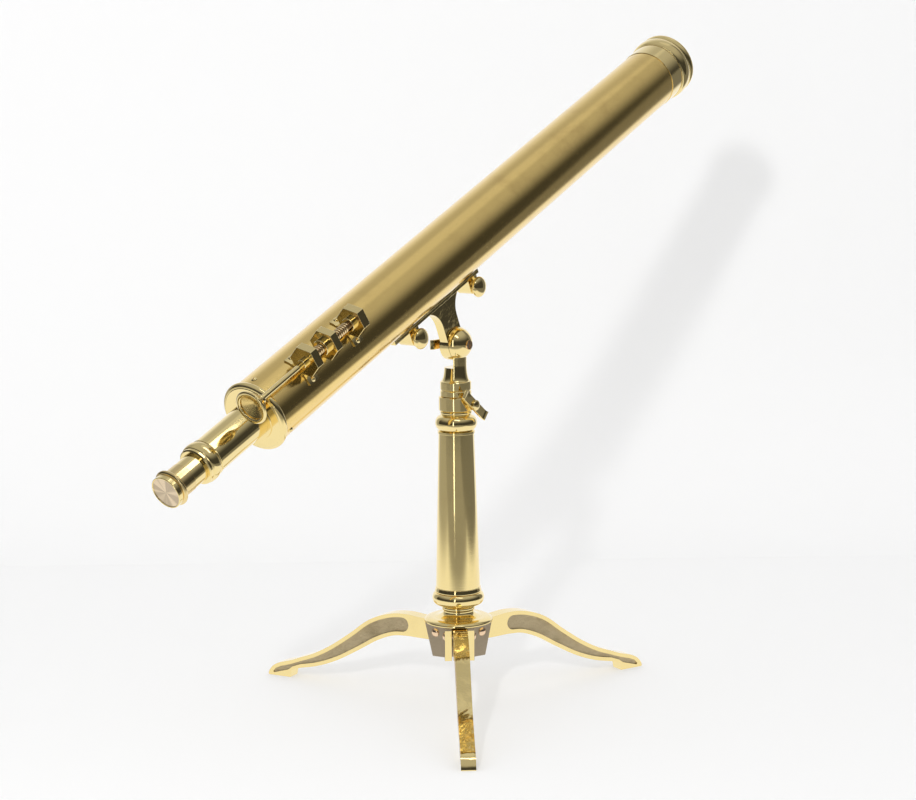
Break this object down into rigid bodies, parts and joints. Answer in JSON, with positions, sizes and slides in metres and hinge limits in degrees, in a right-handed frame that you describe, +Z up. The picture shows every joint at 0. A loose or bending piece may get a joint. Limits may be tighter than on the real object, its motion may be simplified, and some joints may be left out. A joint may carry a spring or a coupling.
{
  "type": "tripod telescope",
  "caption": "Polished brass refracting telescope on a turned pillar with folding cabriole legs, altitude and azimuth motions, screw focusing and a draw-tube eyepiece.",
  "frame": {"origin": "on the table, under the pillar's axis, at the level of the three feet", "axes": "+Z up the pillar, the tube swings in the XZ plane with its objective toward +X, the near side in the picture is -Y"},
  "size_m": [1.0318, 0.4647, 0.8311],
  "materials": {
    "polished_brass": "polished",
    "lacquered_brass": "satin lacquered",
    "cast_brass": "cast, worn, with polished edges",
    "cap_brass": "spun",
    "black_brass": "matt black lacquer",
    "copper_screws": "polished, reddish",
    "steel": "bright",
    "lens_glass": "clear"
  },
  "bodies": {
    "stand": {"hub_block": "cast_brass", "hub_disc": "polished_brass", "base_moulding": "polished_brass", "pillar_column": "polished_brass", "pillar_collar": "polished_brass", "tie_rod": "steel", "tie_nut": "steel", "leg_hinge_screws": "copper_screws"},
    "azimuth_screw": {"azimuth_wing_screw": "polished_brass"},
    "head": {"pillar_head": "polished_brass", "pivot_screw": "polished_brass"},
    "altitude_nut": {"altitude_wing_nut": "polished_brass"},
    "telescope": {"pivot_washers": "copper_screws", "saddle_arm": "cast_brass", "tube_shoe": "polished_brass", "shoe_screws": "steel", "main_tube": "lacquered_brass", "eye_plate": "polished_brass", "focus_bush": "polished_brass", "eye_plate_screws": "polished_brass", "gear_bracket_rear": "polished_brass", "gear_bracket_front": "polished_brass", "bracket_screws": "polished_brass", "objective_sleeve": "polished_brass", "objective_cell": "polished_brass", "crown_lens": "lens_glass", "flint_lens": "lens_glass", "lens_retaining_ring": "black_brass", "tube_baffles": "black_brass"},
    "rear_clamp": {"rear_clamp_screw": "polished_brass"},
    "front_clamp": {"front_clamp_screw": "polished_brass"},
    "focus_screw": {"focus_rod": "steel", "lead_screw": "copper_screws", "focus_knob": "polished_brass"},
    "focus_draw": {"focus_nut": "polished_brass", "focus_carriage": "black_brass", "carriage_screws": "steel", "focus_tube": "polished_brass", "focus_ring": "polished_brass"},
    "eyepiece_draw": {"eyepiece_tube": "polished_brass", "eyepiece_body": "polished_brass", "eye_lens": "lens_glass", "field_lens": "lens_glass", "eye_stop": "black_brass", "erector_cell": "black_brass", "erector_lenses": "lens_glass"},
    "cap": {"eyepiece_cap": "cap_brass"},
    "front_leg": {"leg_front": "cast_brass"},
    "right_leg": {"leg_right": "cast_brass"},
    "left_leg": {"leg_left": "cast_brass"}
  },
  "joints": [
    {"name": "azimuth_turn", "type": "hinge", "parent": "stand", "child": "head", "pos_m": [0, 0, 0.4], "axis": [0, 0, 1], "continuous": true},
    {"name": "azimuth_clamp_turn", "type": "hinge", "parent": "stand", "child": "azimuth_screw", "pos_m": [-0.00105, -0.02998, 0.3817], "axis": [-0.0349, -0.9994, 0], "range_deg": [0, 720]},
    {"name": "altitude_tilt", "type": "hinge", "parent": "head", "child": "telescope", "pos_m": [0, 0, 0.456], "axis": [0, -1, 0], "range_deg": [-43.5, 31.5]},
    {"name": "altitude_nut_turn", "type": "hinge", "parent": "head", "child": "altitude_nut", "pos_m": [0, 0.015, 0.456], "axis": [0, 1, 0], "range_deg": [-720, 90]},
    {"name": "rear_clamp_turn", "type": "hinge", "parent": "telescope", "child": "rear_clamp", "pos_m": [-0.08997, -0.01, 0.47358], "axis": [0, -1, 0], "range_deg": [0, 1080]},
    {"name": "front_clamp_turn", "type": "hinge", "parent": "telescope", "child": "front_clamp", "pos_m": [0.02833, -0.01, 0.52502], "axis": [0, -1, 0], "range_deg": [0, 1080]},
    {"name": "focus_slide", "type": "slide", "parent": "telescope", "child": "focus_draw", "axis": [0.9171, 0, 0.3987], "range_m": [-0.0185, 0.034]},
    {"name": "focus_spin", "type": "hinge", "parent": "telescope", "child": "focus_screw", "pos_m": [-0.28958, -0.04214, 0.49502], "axis": [0.9171, 0, 0.3987], "range_deg": [-3510, 1910]},
    {"name": "eyepiece_slide", "type": "slide", "parent": "focus_draw", "child": "eyepiece_draw", "axis": [0.9171, 0, 0.3987], "range_m": [-0.04, 0.018]},
    {"name": "cap_pull", "type": "slide", "parent": "eyepiece_draw", "child": "cap", "axis": [-0.9171, 0, -0.3987], "range_m": [0, 0.022]},
    {"name": "front_leg_fold", "type": "hinge", "parent": "stand", "child": "front_leg", "pos_m": [-0.01832, -0.01488, 0.089], "axis": [0.6307, -0.776, 0], "range_deg": [0, 70]},
    {"name": "right_leg_fold", "type": "hinge", "parent": "stand", "child": "right_leg", "pos_m": [0.02205, -0.00842, 0.089], "axis": [0.3567, 0.9342, 0], "range_deg": [0, 70]},
    {"name": "left_leg_fold", "type": "hinge", "parent": "stand", "child": "left_leg", "pos_m": [-0.00373, 0.0233, 0.089], "axis": [-0.9874, -0.1582, 0], "range_deg": [0, 70]}
  ],
  "couplings": [
    {"joint": "focus_spin", "follows": "focus_slide", "rad_per_m": -1795.2}
  ]
}
